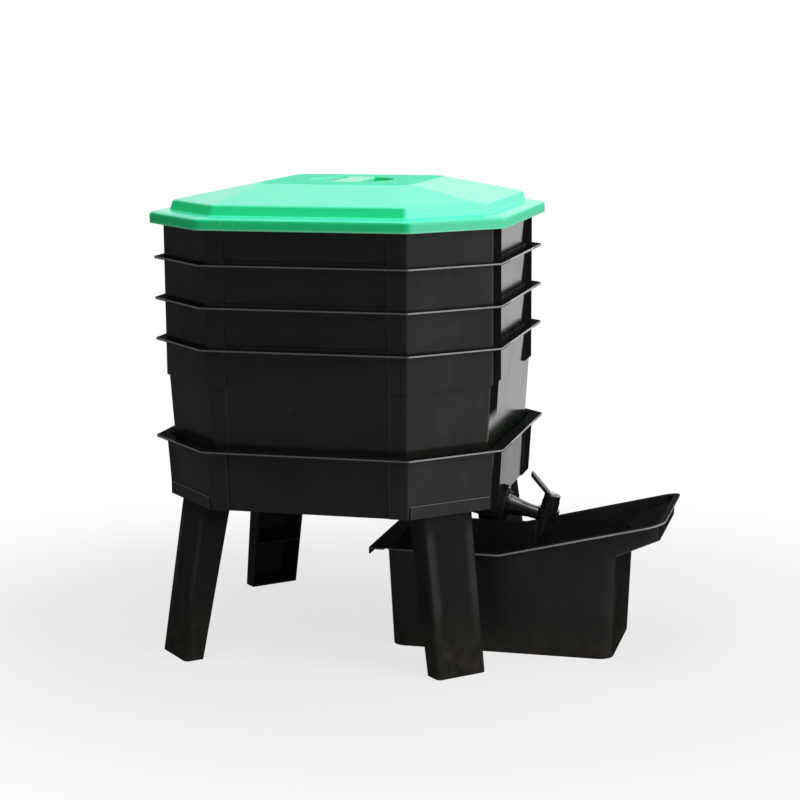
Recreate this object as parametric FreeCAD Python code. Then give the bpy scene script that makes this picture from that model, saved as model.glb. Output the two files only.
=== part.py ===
import FreeCAD, Part
import math
import os
from FreeCAD import Vector

# Stacking wormery, millimetres, +Z up. The stack's own axis is vertical and passes through x = 0, y = 0
# while the pieces are modelled; export() then moves everything so that the origin is the middle of the
# footprint of the whole set, at ground level. The front of the stack faces -Y and its tap faces +X.

# Plan shape: a square with cut corners
RIM_HALF = 250.0            # half width of a tray's rim flange, across the flats
RIM_CUT = 104.7             # length that each cut corner takes off a side of the rim
CORNER_RADIUS = 7.0         # rounding of the eight upright corners

# Working trays
TRAY_COUNT = 4
TRAY_HEIGHT = 165.0         # underside of the floor to the top of the rim flange
TRAY_WALL = 2.5
TRAY_FLOOR = 3.0
WALL_DRAFT = 3.5            # degrees that every tray wall leans in towards its floor
FLANGE_REACH = 13.0         # how far a rim flange stands out from the wall below it
FLANGE_THICK = 3.0
COLLAR_RISE = 4.7           # upstand above the flange that carries the next tray
PAD_DROP = 53.0             # length of the corner pads below the rim flange
PAD_FRONT = 25.0            # width of a pad on the front and back walls
PAD_SIDE = 54.0             # width of a pad on the left and right walls
SLOT_ROWS_EACH_SIDE = 3     # rows of worm slots on each side of a tray floor's middle row
SLOT_COLUMN_SHARE = 0.62    # distance between columns, as a share of the floor's slotted half width
SLOT_BRIDGE = 35.0          # solid floor between neighbouring slots of one row
SLOT_WIDTH = 6.0
SLOT_MARGIN = 12.0          # solid floor left between the slots and the wall

# Sump base
LEG_HEIGHT = 221.0          # ground to the underside of the base
BASE_HEIGHT = 85.0
BASE_OVER_RIM = 2.6         # how much wider the base's rim is than a tray's, on each side
BASE_FLANGE_REACH = 13.5
BASE_FLANGE_THICK = 3.0
BASE_WALL = 2.6
BASE_FLOOR = 3.0
BASE_PAD_PROUD = 2.0        # how far the base's corner pads stand out from its panels
SEAT_RISE = 60.2            # underside of the base to the roofs that the lowest tray rests on
BAND_HEIGHT = 18.0          # raised band over each leg, on the cut corners
BAND_LENGTH = 126.0
BAND_PROUD = 2.6

# Legs, one under each cut corner, set on the diagonals
LEG_SET_IN = 3.4            # base's cut corner to the outer face of a leg at its top
LEG_SPLAY = 37.0            # how much farther out that face stands at the ground
LEG_TOP_WIDTH = 82.0
LEG_FOOT_WIDTH = 78.0
LEG_TOP_DEPTH = 38.0
LEG_FOOT_DEPTH = 28.0
LEG_WALL = 4.0
LEG_RADIUS = 7.0
LEG_RIB_COUNT = 2
TENON_RISE = 44.0           # part of a leg that goes up into its socket
TENON_WIDTH = 64.0
TENON_DEPTH = 26.0
TENON_SET_IN = 5.0          # outer face of a leg to the outer face of its tenon
TENON_GAP = 0.3
SOCKET_WALL = 3.2

# Drain gutter in the sump floor, sloping down to the tap
TAP_TILT = 14.0             # degrees below the horizontal
TAP_SEAT_PROUD = 1.1        # middle of the gutter's outer end in front of the base wall
TAP_SEAT_Y = -45.0
TAP_SEAT_Z = 208.0
GUTTER_RADIUS = 26.0
GUTTER_WALL = 3.0
GUTTER_LENGTH = 110.0
GUTTER_END = 4.0            # thickness of the end wall that the tap is screwed through

# Tap. Its own X axis runs out along the tail, its own Z axis up the barrel.
TAIL_RADIUS = 13.2          # three quarter inch pipe thread, over the crests
TAIL_BORE = 6.0
TAIL_INSIDE = 24.0          # length of tail inside the end wall
TAIL_FIT = 0.25             # tail in the end wall and in its washers
WASHER_RADIUS = 22.0
WASHER_THICK = 3.0
INNER_WASHER_RADIUS = 19.0
INNER_WASHER_THICK = 2.0
NUT_ACROSS_FLATS = 36.0
NUT_THICK = 8.0
TAP_FLANGE_RADIUS = 19.0
TAP_FLANGE_THICK = 4.0
NECK_ROOT_RADIUS = 14.0
NECK_RADIUS = 9.5
NECK_TAPER = 30.0           # length of neck that narrows
BARREL_AXIS = 63.0          # washer seat to the barrel's axis
COLLAR_RADIUS = 15.5
BARREL_RADIUS = 13.0
COLLAR_OVER_NECK = 1.5      # collar's top above the neck
COLLAR_THICK = 11.0
SPOUT_DROP = 38.0           # tail axis to the spout's mouth
BARREL_BORE = 9.2
SPOUT_BORE = 8.5
BONNET_RADIUS = 12.6
BONNET_HEIGHT = 12.0
BONNET_GRIPS = 16
BONNET_GRIP_DEPTH = 0.7
RUNNING_GAP = 0.05          # radial clearance of each turning fit
PLUG_BOTTOM = -14.0
PLUG_PORT = 5.5
PLUG_CORE = 5.5
STEM_RADIUS = 4.0
LEVER_HUB_RADIUS = 11.6
LEVER_HUB_HEIGHT = 9.0
LEVER_BACK = 37.0           # lever tip behind the barrel's axis
LEVER_RISE = 26.0           # lever tip above the middle of its hub
LEVER_WIDTH = 13.0
LEVER_THICK = 5.5
SCREW_RADIUS = 1.9
SCREW_HEAD_RADIUS = 5.6
SCREW_HEAD_HEIGHT = 2.2
SCREW_HEAD_GAP = 0.4
SCREW_LENGTH = 12.0
SCREW_SLOT = 1.0            # width of the driver slot in its head

# Worm ladder, a hollow stepped island on the sump floor
LADDER_STEPS = 3
LADDER_FOOT_HALF = 78.0
LADDER_TOP_HALF = 44.0
LADDER_RISE = 54.0
LADDER_WALL = 2.5
LADDER_SLOT_FOOT = 0.35     # foot and top of a step's slots, as shares of its rise
LADDER_SLOT_TOP = 0.75

# Lid
LID_OVER_RIM = 5.5          # skirt's outer face outside a tray's rim
LID_SKIRT_WALL = 2.5
LID_SKIRT_DROP = 15.5       # lid's seat down to the skirt's lower edge
LID_SHELF_DROP = 0.5        # lid's seat down to the outer edge of its shelf
LID_SHELL = 2.0
SHELF_WIDTH = 27.5          # skirt's outer face to the foot of the plinth
PLINTH_LEAN = 3.5           # how far the plinth's top stands behind its foot
PLINTH_HEIGHT = 14.0
ROOF_RADIUS = 60.0          # rounding of the roof's eight ridges
CROWN_HALF = 119.0          # flat top in the middle of the lid
CROWN_CUT = 24.0
CROWN_RISE = 23.0           # plinth's top edge up to the flat top
DISH_RADIUS = 60.0          # round hand recess
DISH_DEPTH = 24.0
GRIP_WIDTH = 36.0           # bar across the recess
GRIP_THICK = 7.0

# Catch tub on the ground beside the stack
TUB_HALF_WIDTH = 88.0       # at the ground
TUB_DRAFT = 4.0
TUB_END_DRAFT = 2.0         # lean of its two end walls
TUB_LEFT = 77.0             # left end of the tub's floor
TUB_RIGHT = 396.0           # right end of its floor
TUB_RIM = 147.0             # height of its level rim
TUB_RISE_START = 238.0      # where the rim starts to climb to the pouring end
TUB_POUR_RIM = 202.0        # rim height at the pouring end
TUB_POUR_FOOT = 148.0       # height where the pouring lip starts to lean out
TUB_POUR_KNEE = 175.0       # height where it stands upright again
TUB_POUR_REACH = 461.0      # outermost wall of the pouring lip, at the knee
TUB_WALL = 2.5
TUB_LIP = 7.0
TUB_LIP_THICK = 2.5
TUB_CORNER = 20.0
TUB_GRIP_REACH = 23.0       # wide turned-down flange at the left end
TUB_GRIP_DROP = 9.0


def corner_cut(half):
    """Cut of an octagon that lies parallel to the rim, at another half width."""
    return RIM_CUT - (2 - math.sqrt(2)) * (RIM_HALF - half)


def chamfer_reach(half):
    """Axis to a cut corner's face, along the diagonal."""
    return (2 * half - corner_cut(half)) / math.sqrt(2)


COLLAR_TOP = NECK_RADIUS + COLLAR_OVER_NECK
BONNET_TOP = COLLAR_TOP + BONNET_HEIGHT
HUB_TOP = BONNET_TOP + LEVER_HUB_HEIGHT
DRAFT_SLOPE = math.tan(math.radians(WALL_DRAFT))
TUB_SLOPE = math.tan(math.radians(TUB_DRAFT))
TUB_END_SLOPE = math.tan(math.radians(TUB_END_DRAFT))
STACK_PITCH = PAD_DROP + COLLAR_RISE
WALL_HALF = RIM_HALF - FLANGE_REACH
BASE_TOP = LEG_HEIGHT + BASE_HEIGHT
BASE_RIM_HALF = RIM_HALF + BASE_OVER_RIM
BASE_WALL_HALF = BASE_RIM_HALF - BASE_FLANGE_REACH
BASE_FLOOR_HALF = BASE_WALL_HALF - BASE_HEIGHT * DRAFT_SLOPE
LEG_TOP_REACH = chamfer_reach(BASE_FLOOR_HALF) - LEG_SET_IN
LEG_FOOT_REACH = LEG_TOP_REACH + LEG_SPLAY
TAP_SEAT_X = BASE_FLOOR_HALF + TAP_SEAT_PROUD
SUMP_FLOOR = LEG_HEIGHT + BASE_FLOOR
TRAY_SEAT = LEG_HEIGHT + SEAT_RISE
LOWEST_RIM = TRAY_SEAT + TRAY_HEIGHT
TOP_RIM = LOWEST_RIM + (TRAY_COUNT - 1) * STACK_PITCH
LID_SEAT = TOP_RIM + COLLAR_RISE
LID_SKIRT_HALF = RIM_HALF + LID_OVER_RIM
PLINTH_FOOT_HALF = LID_SKIRT_HALF - SHELF_WIDTH
PLINTH_TOP_HALF = PLINTH_FOOT_HALF - PLINTH_LEAN
TUB_END = TUB_POUR_REACH + (TUB_POUR_RIM - TUB_POUR_KNEE) * TUB_END_SLOPE + TUB_LIP
# The set's footprint runs from the lid's left edge to the tub's pouring end.
FOOTPRINT_MIDDLE = (TUB_END - LID_SKIRT_HALF) / 2


def export(name, shape):
    """Write one piece to its own file, with the origin in the middle of the footprint."""
    placed = shape.copy()
    placed.translate(Vector(-FOOTPRINT_MIDDLE, 0, 0))
    placed.exportStep("parts/" + name + ".step")


def fused(shapes):
    whole = shapes[0]
    if len(shapes) > 1:
        whole = shapes[0].fuse(shapes[1:])
    return whole.removeSplitter()


def box(low, high):
    size = Vector(*high) - Vector(*low)
    return Part.makeBox(size.x, size.y, size.z, Vector(*low))


def disc(radius, start, end, direction=Vector(0, 0, 1), centre=Vector(0, 0, 0)):
    """Cylinder along a direction, between two distances from the centre."""
    return Part.makeCylinder(radius, end - start, centre + direction * start, direction)


def cone(start_radius, end_radius, start, end, direction):
    return Part.makeCone(start_radius, end_radius, end - start, direction * start, direction)


def prism(points, low, high, axis):
    """Flat outline pulled along X, Y or Z. Points are (y, z), (x, z) or (x, y)."""
    if axis == "x":
        corners = [Vector(low, a, b) for a, b in points]
        way = Vector(high - low, 0, 0)
    elif axis == "y":
        corners = [Vector(a, low, b) for a, b in points]
        way = Vector(0, high - low, 0)
    else:
        corners = [Vector(a, b, low) for a, b in points]
        way = Vector(0, 0, high - low)
    return Part.Face(Part.makePolygon(corners + [corners[0]])).extrude(way)


def octagon_points(half, z, cut=None):
    side = half - (corner_cut(half) if cut is None else cut)
    points = [(-side, -half), (side, -half), (half, -side), (half, side),
              (side, half), (-side, half), (-half, side), (-half, -side)]
    return [Vector(x, y, z) for x, y in points]


def planar_solid(rings):
    """Solid with flat faces through rings of points, all counterclockwise and one above the other."""
    floor = list(reversed(rings[0]))
    faces = [Part.Face(Part.makePolygon(ring + [ring[0]])) for ring in (floor, rings[-1])]
    for low, high in zip(rings, rings[1:]):
        for i in range(len(low)):
            after = (i + 1) % len(low)
            corners = [low[i], low[after], high[after], high[i], low[i]]
            faces.append(Part.Face(Part.makePolygon(corners)))
    return Part.Solid(Part.Shell(faces))


def upright_edges(solid):
    """Edges that climb from one ring to the next."""
    return [e for e in solid.Edges if abs(e.Vertexes[0].Z - e.Vertexes[-1].Z) > 0.01]


def tapered(levels, radius=CORNER_RADIUS, cuts=(None, None)):
    """Octagonal block between two (half width, height) levels, with rounded upright corners."""
    rings = [octagon_points(half, z, cut) for (half, z), cut in zip(levels, cuts)]
    block = planar_solid(rings)
    return block.makeFillet(radius, upright_edges(block)) if radius else block


def panel_zones(half, low, high, pad_front, pad_side):
    """Boxes over the middles of the four main walls, between the corner pads."""
    side = half - corner_cut(half)
    far = half * 1.5
    return [box((-(side - pad_front), -far, low), (side - pad_front, far, high)),
            box((-far, -(side - pad_side), low), (far, side - pad_side, high))]


def on_diagonal(shape, index):
    """Turn a piece made along +X onto one of the four diagonals, front right first."""
    turned = shape.copy()
    turned.rotate(Vector(0, 0, 0), Vector(0, 0, 1), -45 + 90 * index)
    return turned


def worm_slots(floor_half, low, high):
    """Rows of slots in a tray floor, three in a row; the two outermost rows have one slot each."""
    reach = floor_half - SLOT_MARGIN
    column_pitch = reach * SLOT_COLUMN_SHARE
    row_pitch = reach / SLOT_ROWS_EACH_SIDE
    half = (column_pitch - SLOT_BRIDGE) / 2
    slots = []
    for row in range(-SLOT_ROWS_EACH_SIDE, SLOT_ROWS_EACH_SIDE + 1):
        columns = (0,) if abs(row) == SLOT_ROWS_EACH_SIDE else (-1, 0, 1)
        for column in columns:
            x = column * column_pitch
            y = row * row_pitch
            slots.append(box((x - half, y - SLOT_WIDTH / 2, low), (x + half, y + SLOT_WIDTH / 2, high)))
    return Part.makeCompound(slots)


def tray():
    """One working tray with its rim at z = 0. All the trays are alike and nest in each other."""
    floor_half = WALL_HALF - TRAY_HEIGHT * DRAFT_SLOPE
    inside_flange = FLANGE_THICK / 2
    shell = tapered([(floor_half, -TRAY_HEIGHT), (WALL_HALF - inside_flange * DRAFT_SLOPE, -inside_flange)])
    pads_and_collar = tapered([(WALL_HALF, -PAD_DROP), (WALL_HALF, COLLAR_RISE)])
    zones = panel_zones(WALL_HALF, -PAD_DROP - 1, -inside_flange, PAD_FRONT, PAD_SIDE)
    flange = tapered([(RIM_HALF, -FLANGE_THICK), (RIM_HALF, 0)])
    body = fused([shell, pads_and_collar.cut(zones), flange])
    hollow_low = TRAY_FLOOR - TRAY_HEIGHT
    hollow_high = COLLAR_RISE + 1
    inner_rim = WALL_HALF - TRAY_WALL
    inner_floor = inner_rim + hollow_low * DRAFT_SLOPE
    inner_mouth = inner_rim + hollow_high * DRAFT_SLOPE
    hollow = tapered([(inner_floor, hollow_low), (inner_mouth, hollow_high)], 0)
    return body.cut([hollow, worm_slots(inner_floor, -TRAY_HEIGHT - 1, hollow_low + 1)])


def tap_place(shape):
    """Move a piece from the tap's own axes to its place on the gutter's end wall."""
    placed = shape.copy()
    placed.rotate(Vector(0, 0, 0), Vector(0, 1, 0), TAP_TILT)
    placed.translate(Vector(TAP_SEAT_X, TAP_SEAT_Y, TAP_SEAT_Z))
    return placed


def leg_socket():
    """Hollow post along +X in a corner of the base; its roof carries the lowest tray."""
    outer_face = LEG_TOP_REACH - TENON_SET_IN + TENON_GAP + SOCKET_WALL
    inner_face = LEG_TOP_REACH - TENON_SET_IN - TENON_DEPTH - TENON_GAP - SOCKET_WALL
    half = TENON_WIDTH / 2 + TENON_GAP + SOCKET_WALL
    return box((inner_face, -half, LEG_HEIGHT), (outer_face, half, TRAY_SEAT))


def tenon_space(gap, top):
    outer_face = LEG_TOP_REACH - TENON_SET_IN
    half = TENON_WIDTH / 2 + gap
    return box((outer_face - TENON_DEPTH - gap, -half, LEG_HEIGHT - 1), (outer_face + gap, half, top))


def base_tray():
    panel_half = BASE_WALL_HALF - BASE_PAD_PROUD
    panel_floor_half = BASE_FLOOR_HALF - BASE_PAD_PROUD
    panels = tapered([(panel_floor_half, LEG_HEIGHT), (panel_half, BASE_TOP)])
    pads = tapered([(BASE_FLOOR_HALF, LEG_HEIGHT), (BASE_WALL_HALF, BASE_TOP)])
    zones = panel_zones(BASE_FLOOR_HALF, LEG_HEIGHT - 1, BASE_TOP - BASE_FLANGE_THICK / 2,
                        PAD_FRONT, PAD_SIDE)
    flange = tapered([(BASE_RIM_HALF, BASE_TOP - BASE_FLANGE_THICK), (BASE_RIM_HALF, BASE_TOP)])
    floor_reach = chamfer_reach(BASE_FLOOR_HALF)
    band = box((floor_reach - BASE_WALL, -BAND_LENGTH / 2, LEG_HEIGHT),
               (floor_reach + BAND_PROUD, BAND_LENGTH / 2, LEG_HEIGHT + BAND_HEIGHT))
    bands = [on_diagonal(band, i) for i in range(4)]
    tail_way = Vector(1, 0, 0)
    gutter = tap_place(disc(GUTTER_RADIUS, -GUTTER_LENGTH, 0, tail_way))
    body = fused([panels, pads.cut(zones), flange, gutter] + bands)
    hollow_half = panel_floor_half - BASE_WALL
    mouth = BASE_TOP + 1
    hollow = tapered([(hollow_half + BASE_FLOOR * DRAFT_SLOPE, SUMP_FLOOR),
                      (hollow_half + (mouth - LEG_HEIGHT) * DRAFT_SLOPE, mouth)], 0)
    trough = tap_place(disc(GUTTER_RADIUS - GUTTER_WALL, GUTTER_WALL - GUTTER_LENGTH, -GUTTER_END,
                            tail_way))
    above_floor = box((-BASE_FLOOR_HALF, -BASE_FLOOR_HALF, SUMP_FLOOR),
                      (hollow_half, BASE_FLOOR_HALF, BASE_TOP))
    cover = gutter.common(above_floor)
    body = body.cut([hollow.cut(gutter), trough, cover])
    sockets = [on_diagonal(leg_socket(), i).common(hollow) for i in range(4)]
    spaces = [on_diagonal(tenon_space(TENON_GAP, TRAY_SEAT - SOCKET_WALL), i) for i in range(4)]
    tail_hole = tap_place(disc(TAIL_RADIUS + TAIL_FIT, -GUTTER_END - 1, 1, tail_way))
    return fused([body] + sockets).cut(spaces + [tail_hole])


def leg_ring(z, wall):
    """Outline of a leg along +X at one height, or of its channel, which opens inwards."""
    share = 1 - z / LEG_HEIGHT
    reach = LEG_TOP_REACH + (LEG_FOOT_REACH - LEG_TOP_REACH) * share
    half = (LEG_TOP_WIDTH + (LEG_FOOT_WIDTH - LEG_TOP_WIDTH) * share) / 2 - wall
    depth = LEG_TOP_DEPTH + (LEG_FOOT_DEPTH - LEG_TOP_DEPTH) * share
    back = reach - depth - wall
    outline = [(back, -half), (reach - wall, -half), (reach - wall, half), (back, half)]
    return [Vector(x, y, z) for x, y in outline]


def leg_block(wall):
    return planar_solid([leg_ring(0, wall), leg_ring(LEG_HEIGHT, wall)])


def leg():
    """Tapered channel leg along +X, with a closed top and foot and a tenon for its socket."""
    outer = leg_block(0)
    front = [e for e in upright_edges(outer) if e.CenterOfMass.x > outer.CenterOfMass.x]
    outer = outer.makeFillet(LEG_RADIUS, front)
    room = box((0, -LEG_TOP_WIDTH, LEG_WALL), (2 * LEG_FOOT_REACH, LEG_TOP_WIDTH, LEG_HEIGHT - LEG_WALL))
    channel = leg_block(LEG_WALL).common(room)
    for i in range(LEG_RIB_COUNT):
        middle = LEG_HEIGHT * (i + 1) / (LEG_RIB_COUNT + 1)
        channel = channel.cut(box((0, -LEG_TOP_WIDTH, middle - LEG_WALL / 2),
                                  (2 * LEG_FOOT_REACH, LEG_TOP_WIDTH, middle + LEG_WALL / 2)))
    tenon = tenon_space(0, LEG_HEIGHT + TENON_RISE)
    tenon_hollow = tenon_space(-LEG_WALL, LEG_HEIGHT + TENON_RISE - LEG_WALL)
    above_top = box((0, -LEG_TOP_WIDTH, LEG_HEIGHT), (2 * LEG_FOOT_REACH, LEG_TOP_WIDTH, 2 * LEG_HEIGHT))
    return fused([outer.cut(channel), tenon.common(above_top)]).cut(tenon_hollow.common(above_top))


def worm_ladder():
    """Stepped island, hollow underneath, with slots that the worms climb through."""
    step_rise = LADDER_RISE / LADDER_STEPS
    step_in = (LADDER_FOOT_HALF - LADDER_TOP_HALF) / (LADDER_STEPS - 1)
    solids = []
    hollows = []
    slots = []
    for i in range(LADDER_STEPS):
        half = LADDER_FOOT_HALF - i * step_in
        low = SUMP_FLOOR + i * step_rise
        solids.append(box((-half, -half, low), (half, half, low + step_rise)))
        inner = half - LADDER_WALL
        hollow_low = SUMP_FLOOR - 1 if i == 0 else low - LADDER_WALL
        hollows.append(box((-inner, -inner, hollow_low), (inner, inner, low + step_rise - LADDER_WALL)))
        for x in (-LADDER_TOP_HALF / 2, LADDER_TOP_HALF / 2):
            slots.append(box((x - SLOT_WIDTH / 2, -half - 1, low + step_rise * LADDER_SLOT_FOOT),
                             (x + SLOT_WIDTH / 2, half + 1, low + step_rise * LADDER_SLOT_TOP)))
    top = SUMP_FLOOR + LADDER_RISE
    for y in (-LADDER_TOP_HALF / 2, LADDER_TOP_HALF / 2):
        slots.append(box((-LADDER_TOP_HALF / 2, y - SLOT_WIDTH / 2, top - LADDER_WALL - 1),
                         (LADDER_TOP_HALF / 2, y + SLOT_WIDTH / 2, top + 1)))
    return fused(solids).cut(hollows + slots)


TAIL_WAY = Vector(1, 0, 0)
BARREL_CENTRE = Vector(BARREL_AXIS, 0, 0)


def on_barrel(radius, low, high):
    return disc(radius, low, high, centre=BARREL_CENTRE)


def tap_body():
    """Tail, flange, neck and barrel in one moulding, bored from the tail to the spout."""
    flange_start = WASHER_THICK
    neck_start = flange_start + TAP_FLANGE_THICK
    neck_narrow = neck_start + NECK_TAPER
    solids = [disc(TAIL_RADIUS, -GUTTER_END - TAIL_INSIDE, flange_start, TAIL_WAY),
              disc(TAP_FLANGE_RADIUS, flange_start, neck_start, TAIL_WAY),
              cone(NECK_ROOT_RADIUS, NECK_RADIUS, neck_start, neck_narrow, TAIL_WAY),
              disc(NECK_RADIUS, neck_narrow, BARREL_AXIS, TAIL_WAY),
              on_barrel(COLLAR_RADIUS, COLLAR_TOP - COLLAR_THICK, COLLAR_TOP),
              on_barrel(BARREL_RADIUS, -SPOUT_DROP, COLLAR_TOP - COLLAR_THICK)]
    tail_bore = disc(TAIL_BORE, -GUTTER_END - TAIL_INSIDE - 1, BARREL_AXIS, TAIL_WAY)
    barrel_bore = on_barrel(BARREL_BORE, PLUG_BOTTOM, COLLAR_TOP + 1)
    spout_bore = on_barrel(SPOUT_BORE, -SPOUT_DROP - 1, PLUG_BOTTOM)
    return fused(solids).cut([tail_bore, barrel_bore, spout_bore])


def tap_washer(radius, start, end):
    ring = disc(radius, start, end, TAIL_WAY)
    return ring.cut(disc(TAIL_RADIUS + TAIL_FIT, start - 1, end + 1, TAIL_WAY))


def tap_lock_nut():
    end = -GUTTER_END - INNER_WASHER_THICK
    start = end - NUT_THICK
    corner_radius = NUT_ACROSS_FLATS / math.sqrt(3)
    corners = [(corner_radius * math.cos(math.radians(60 * i)), corner_radius * math.sin(math.radians(60 * i)))
               for i in range(6)]
    nut = prism(corners, start, end, "x")
    return nut.cut(disc(TAIL_RADIUS + RUNNING_GAP, start - 1, end + 1, TAIL_WAY))


def tap_bonnet():
    """Grooved cap that keeps the plug down."""
    outline = []
    for i in range(2 * BONNET_GRIPS):
        angle = math.pi * i / BONNET_GRIPS
        radius = BONNET_RADIUS if i % 2 else BONNET_RADIUS - BONNET_GRIP_DEPTH
        outline.append((BARREL_AXIS + radius * math.cos(angle), radius * math.sin(angle)))
    cap = prism(outline, COLLAR_TOP, BONNET_TOP, "z")
    return cap.cut(on_barrel(STEM_RADIUS + RUNNING_GAP, COLLAR_TOP - 1, BONNET_TOP + 1))


def tap_plug():
    """Turning plug: water comes in at its side port and leaves through its open foot."""
    solids = [on_barrel(BARREL_BORE - RUNNING_GAP, PLUG_BOTTOM + RUNNING_GAP, COLLAR_TOP - RUNNING_GAP),
              on_barrel(STEM_RADIUS, 0, HUB_TOP)]
    core = on_barrel(PLUG_CORE, PLUG_BOTTOM - 1, PLUG_PORT)
    side_port = box((BARREL_AXIS - PLUG_PORT, 0, -PLUG_PORT),
                    (BARREL_AXIS + PLUG_PORT, 2 * BARREL_BORE, PLUG_PORT))
    screw_hole = on_barrel(SCREW_RADIUS, HUB_TOP - SCREW_LENGTH, HUB_TOP + 1)
    return fused(solids).cut([core, side_port, screw_hole])


def tap_lever():
    """Hub on the plug's stem with an arm that leans back over the tail."""
    hub_low = BONNET_TOP + RUNNING_GAP
    middle = (hub_low + HUB_TOP) / 2
    hub = on_barrel(LEVER_HUB_RADIUS, hub_low, HUB_TOP)
    rise = LEVER_THICK / 2
    outline = [(BARREL_AXIS, middle - rise), (BARREL_AXIS, middle + rise),
               (BARREL_AXIS - LEVER_BACK, middle + LEVER_RISE + rise),
               (BARREL_AXIS - LEVER_BACK, middle + LEVER_RISE - rise)]
    arm = prism(outline, -LEVER_WIDTH / 2, LEVER_WIDTH / 2, "y")
    tip_edges = [e for e in arm.Edges if abs(e.Length - LEVER_THICK) < 0.1
                 and e.BoundBox.XMax < BARREL_AXIS - LEVER_BACK / 2]
    arm = arm.makeFillet(LEVER_WIDTH * 0.45, tip_edges)
    head_seat = on_barrel(SCREW_HEAD_RADIUS + SCREW_HEAD_GAP, HUB_TOP, HUB_TOP + LEVER_RISE)
    arm = arm.cut([on_barrel(LEVER_BACK, 0, hub_low), head_seat])
    return fused([hub, arm]).cut(on_barrel(STEM_RADIUS + RUNNING_GAP, 0, HUB_TOP + LEVER_RISE))


def tap_lever_screw():
    head_top = HUB_TOP + SCREW_HEAD_HEIGHT
    head = on_barrel(SCREW_HEAD_RADIUS, HUB_TOP, head_top)
    shank = on_barrel(SCREW_RADIUS - RUNNING_GAP, HUB_TOP - SCREW_LENGTH + RUNNING_GAP, HUB_TOP)
    slot = box((BARREL_AXIS - SCREW_LENGTH, -SCREW_SLOT / 2, head_top - SCREW_HEAD_HEIGHT / 2),
               (BARREL_AXIS + SCREW_LENGTH, SCREW_SLOT / 2, head_top + 1))
    return fused([head, shank]).cut(slot)


def lid_outside(skirt_low, shelf_foot, plinth_foot, plinth_top, crown):
    skirt = tapered([(LID_SKIRT_HALF, skirt_low), (LID_SKIRT_HALF, shelf_foot)])
    shelf = tapered([(LID_SKIRT_HALF - 1, shelf_foot), (WALL_HALF + 2 * LID_SHELL, plinth_foot)], 0)
    plinth = tapered([(PLINTH_FOOT_HALF, plinth_foot), (PLINTH_TOP_HALF, plinth_top)])
    roof = tapered([(PLINTH_TOP_HALF - 1, plinth_top), (CROWN_HALF, crown)], ROOF_RADIUS, (None, CROWN_CUT))
    return fused([skirt, shelf, plinth, roof])


def lid_underside(skirt_low, shelf_foot, plinth_top, crown):
    """Hollow spaces below the lid, from the skirt up to the flat top."""
    skirt_inner = LID_SKIRT_HALF - LID_SKIRT_WALL
    shelf_under = shelf_foot - LID_SHELL
    seat_outer = WALL_HALF + LID_SHELL
    plinth_inner = PLINTH_TOP_HALF - LID_SHELL
    roof_under = plinth_top - LID_SHELL
    return [tapered([(skirt_inner, skirt_low - 1), (skirt_inner, shelf_under)], 0),
            tapered([(skirt_inner - 1, shelf_under), (seat_outer, LID_SEAT)], 0),
            tapered([(plinth_inner, LID_SEAT - 1), (plinth_inner, roof_under)], 0),
            tapered([(plinth_inner - 1, roof_under), (CROWN_HALF, crown - LID_SHELL)], 0, (None, CROWN_CUT))]


def lid():
    skirt_low = LID_SEAT - LID_SKIRT_DROP
    shelf_foot = LID_SEAT - LID_SHELF_DROP
    plinth_foot = LID_SEAT + LID_SHELL
    plinth_top = plinth_foot + PLINTH_HEIGHT
    crown = plinth_top + CROWN_RISE
    body = lid_outside(skirt_low, shelf_foot, plinth_foot, plinth_top, crown)
    cup_floor = crown - DISH_DEPTH - LID_SHELL
    dish_cup = disc(DISH_RADIUS + LID_SHELL, cup_floor, crown)
    under = lid_underside(skirt_low, shelf_foot, plinth_top, crown)
    under[-1] = under[-1].cut(dish_cup)
    under[-2] = under[-2].cut(dish_cup)
    dish = disc(DISH_RADIUS, crown - DISH_DEPTH, crown + 1)
    grip = box((-GRIP_WIDTH / 2, -DISH_RADIUS, crown - GRIP_THICK), (GRIP_WIDTH / 2, DISH_RADIUS, crown))
    return fused([body.cut(under + [dish]), grip.common(dish_cup)])


def tub_block(inset):
    """Outside of the tub for inset 0, its hollow for a positive inset, its lip for a negative one."""
    top = TUB_POUR_RIM + TUB_LIP_THICK + 30
    low = max(inset, 0)
    pour_foot_x = TUB_RIGHT + TUB_POUR_FOOT * TUB_END_SLOPE
    lean = math.atan2(TUB_POUR_KNEE - TUB_POUR_FOOT, TUB_POUR_REACH - pour_foot_x)
    drop = inset * math.tan(lean / 2)
    left_low = TUB_LEFT - low * TUB_END_SLOPE + inset
    left_high = TUB_LEFT - top * TUB_END_SLOPE + inset
    right_low = TUB_RIGHT + low * TUB_END_SLOPE - inset
    right_high = TUB_POUR_REACH + (top - TUB_POUR_KNEE) * TUB_END_SLOPE - inset
    outline = [(left_low, low), (right_low, low), (pour_foot_x - inset, TUB_POUR_FOOT + drop),
               (TUB_POUR_REACH - inset, TUB_POUR_KNEE + drop), (right_high, top), (left_high, top)]
    half_low = TUB_HALF_WIDTH + low * TUB_SLOPE - inset
    half_high = TUB_HALF_WIDTH + top * TUB_SLOPE - inset
    section = [(-half_low, low), (half_low, low), (half_high, top), (-half_high, top)]
    wide = 2 * TUB_HALF_WIDTH
    block = prism(outline, -wide, wide, "y").common(prism(section, 0, 2 * TUB_POUR_REACH, "x"))
    upright = [e for e in block.Edges if abs(e.Vertexes[0].Z - e.Vertexes[-1].Z) > 5
               and abs(abs(e.CenterOfMass.y) - TUB_HALF_WIDTH) < 40]
    return block.makeFillet(TUB_CORNER - inset, upright)


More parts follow.
